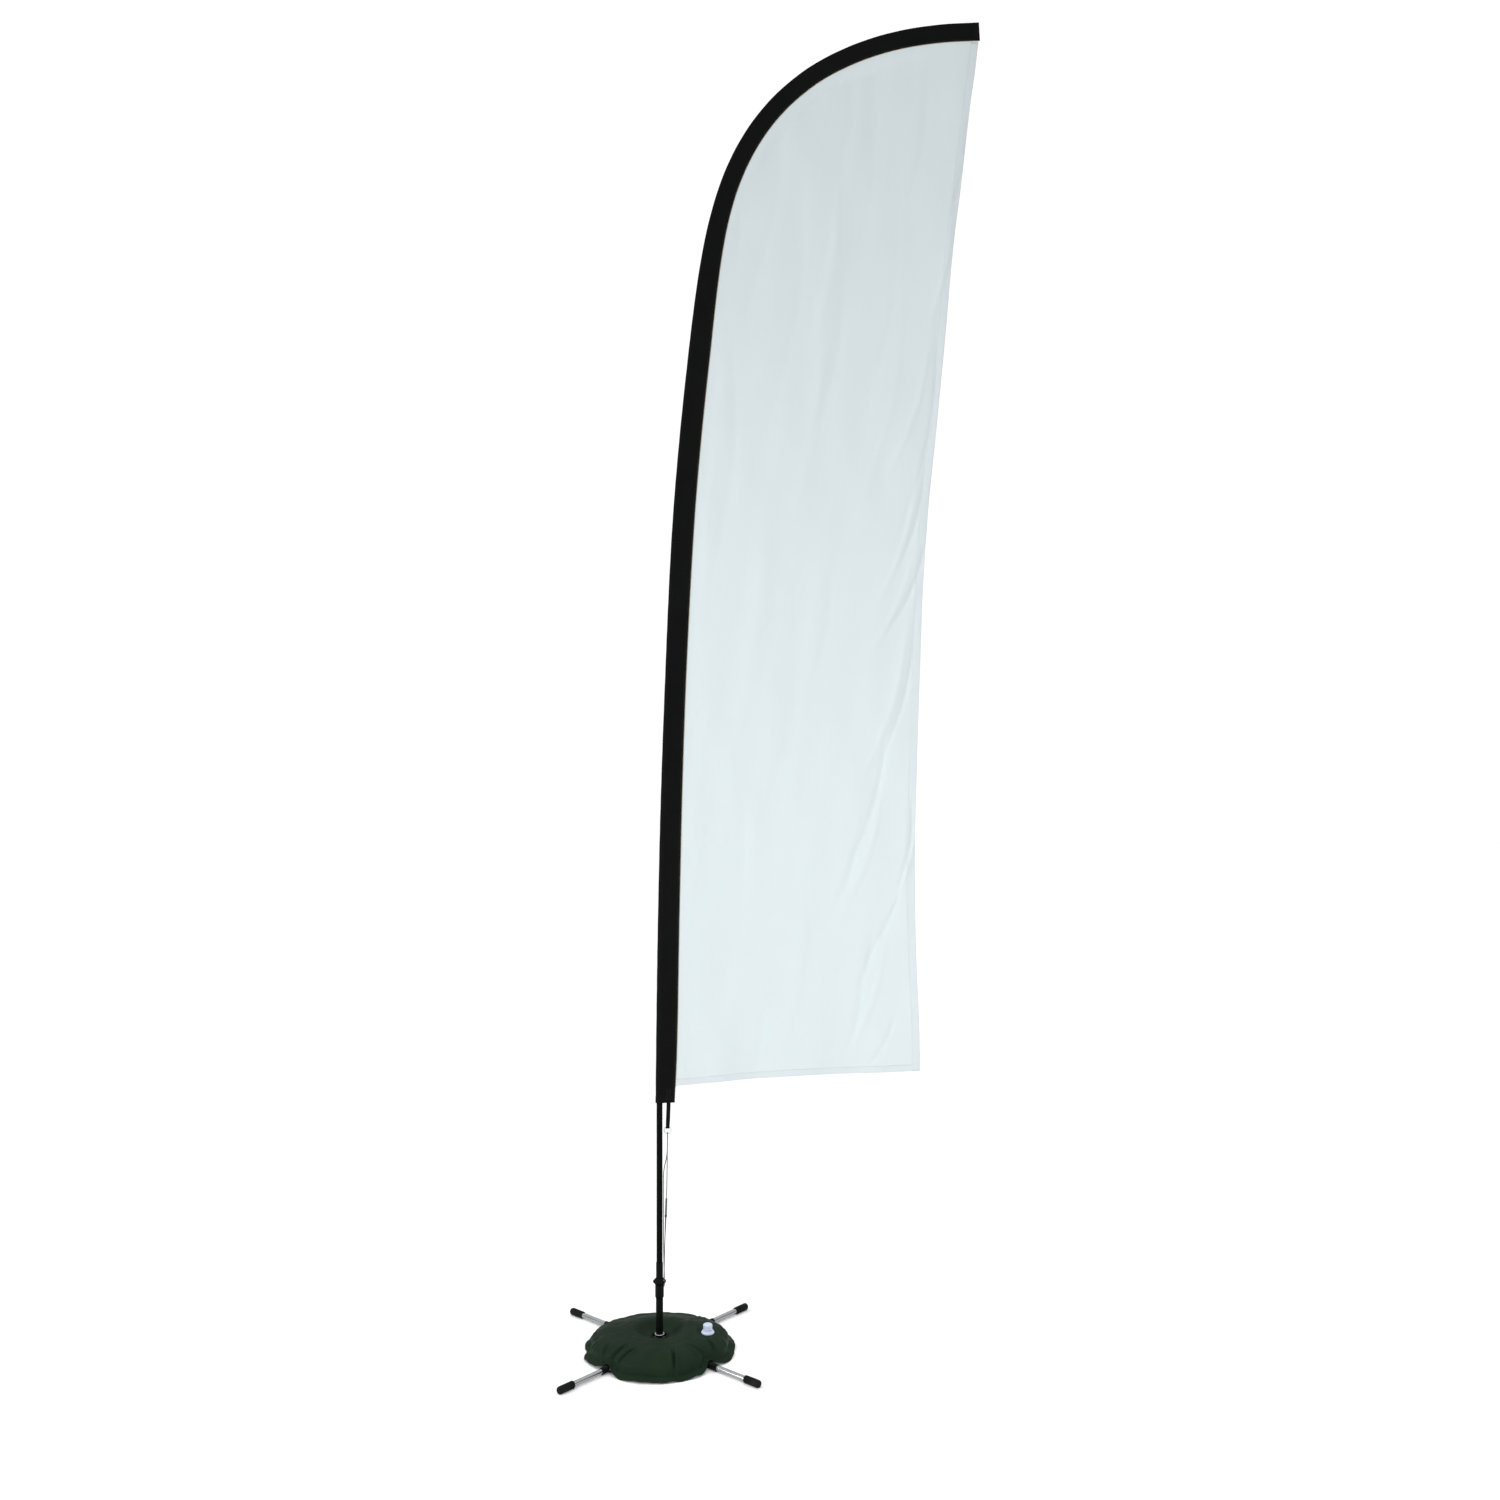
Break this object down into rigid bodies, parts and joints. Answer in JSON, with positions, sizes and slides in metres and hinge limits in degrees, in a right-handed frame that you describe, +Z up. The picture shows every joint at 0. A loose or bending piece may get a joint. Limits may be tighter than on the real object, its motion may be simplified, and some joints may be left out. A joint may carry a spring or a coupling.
{
  "type": "feather flag with pole",
  "caption": "Feather flag: blank white sail on a bent tapering pole in a black sleeve, on a rotating spindle over a folding cross base with a ring-shaped water bag.",
  "frame": {"origin": "on the rotor's axis at ground level, in the middle of the hub foot's underside", "axes": "+Z up along the rotor's axis, +X from the pole towards the sail's free edge, +Y across the sail, away from its front"},
  "size_m": [1.4555, 0.7004, 4.5734],
  "materials": {
    "sail_fabric": "matt woven polyester",
    "sleeve_fabric": "matt woven polyester",
    "webbing": "ribbed webbing",
    "ring_plastic": "smooth",
    "cord": "braided",
    "slider_plastic": "satin",
    "pole_composite": "satin lacquer",
    "ferrule_metal": "satin",
    "black_plastic": "moulded",
    "powder_coat": "fine powder coat",
    "steel": "machined",
    "chrome": "polished",
    "rubber": "moulded",
    "bag_vinyl": "coated fabric",
    "white_plastic": "moulded"
  },
  "bodies": {
    "base": {"hub_foot": "rubber", "spindle_post": "steel", "hub_washer": "steel", "hub_spacer": "powder_coat", "lock_nut": "chrome", "dust_seal": "rubber", "bearing_spacer": "steel", "bearing_lock_nut": "steel", "bearing_inner_race_1": "steel", "bearing_inner_race_2": "steel", "lower_arm": "powder_coat", "leg_tube_back_right": "chrome", "leg_tube_front_left": "chrome", "foot_cap_back_right": "rubber", "foot_cap_front_left": "rubber", "leg_rivet_back_right": "steel", "leg_rivet_front_left": "steel"},
    "upper_arm": {"upper_arm": "powder_coat", "leg_tube_back_left": "chrome", "leg_tube_front_right": "chrome", "foot_cap_back_left": "rubber", "foot_cap_front_right": "rubber", "leg_rivet_back_left": "steel", "leg_rivet_front_right": "steel"},
    "rotor": {"rotor_tube": "powder_coat", "spigot_oring_1": "rubber", "spigot_oring_2": "rubber", "bearing_outer_race_1": "steel", "bearing_outer_race_2": "steel", "bearing_retaining_ring": "steel"},
    "ball_cages": {"bearing_ball_set_1": "steel", "bearing_ball_set_2": "steel"},
    "mast": {"pole_section_1": "pole_composite", "pole_section_2": "pole_composite", "pole_section_3": "pole_composite", "pole_section_4": "pole_composite", "pole_ferrule_1": "ferrule_metal", "pole_ferrule_2": "ferrule_metal", "pole_ferrule_3": "ferrule_metal", "pole_foot_ferrule": "black_plastic", "pole_tip_cap": "rubber", "tip_pocket": "webbing", "pole_collar": "black_plastic", "pole_sleeve": "sleeve_fabric", "sail": "sail_fabric", "tension_strap": "webbing", "strap_ring": "ring_plastic", "tension_cord": "cord", "cord_knot": "cord", "cord_end_knot_a": "cord", "cord_end_knot_b": "cord"},
    "cord_lock": {"cord_lock": "slider_plastic"},
    "water_bag": {"water_bag": "bag_vinyl", "bag_eyelet": "black_plastic", "valve_neck": "white_plastic"},
    "cap_gasket": {"cap_gasket": "rubber"},
    "valve_cap": {"valve_cap": "white_plastic"}
  },
  "joints": [
    {"name": "flag_swivel", "type": "hinge", "parent": "base", "child": "rotor", "pos_m": [0, 0, 0.1], "axis": [0, 0, 1], "continuous": true},
    {"name": "cage_spin", "type": "hinge", "parent": "base", "child": "ball_cages", "pos_m": [0, 0, 0.1], "axis": [0, 0, 1], "continuous": true},
    {"name": "mast_lift", "type": "slide", "parent": "rotor", "child": "mast", "axis": [0, 0, 1], "range_m": [0, 0.17]},
    {"name": "cord_lock_slide", "type": "slide", "parent": "mast", "child": "cord_lock", "axis": [0.0343, 0.0143, 0.9993], "range_m": [0, 0.05]},
    {"name": "base_fold", "type": "hinge", "parent": "base", "child": "upper_arm", "pos_m": [0, 0, 0.012], "axis": [0, 0, 1], "range_deg": [0, 68]},
    {"name": "bag_lift", "type": "slide", "parent": "base", "child": "water_bag", "axis": [0, 0, 1], "range_m": [0, 0.12]},
    {"name": "cap_rise", "type": "slide", "parent": "water_bag", "child": "cap_gasket", "axis": [0, 0, 1], "range_m": [0, 0.006]},
    {"name": "cap_turn", "type": "hinge", "parent": "cap_gasket", "child": "valve_cap", "pos_m": [0.167, -0.02, 0.09], "axis": [0, 0, 1], "range_deg": [0, 720]}
  ],
  "couplings": [
    {"joint": "cage_spin", "follows": "flag_swivel", "ratio": 0.57},
    {"joint": "cap_rise", "follows": "cap_turn", "m_per_rad": 0.00047746}
  ]
}
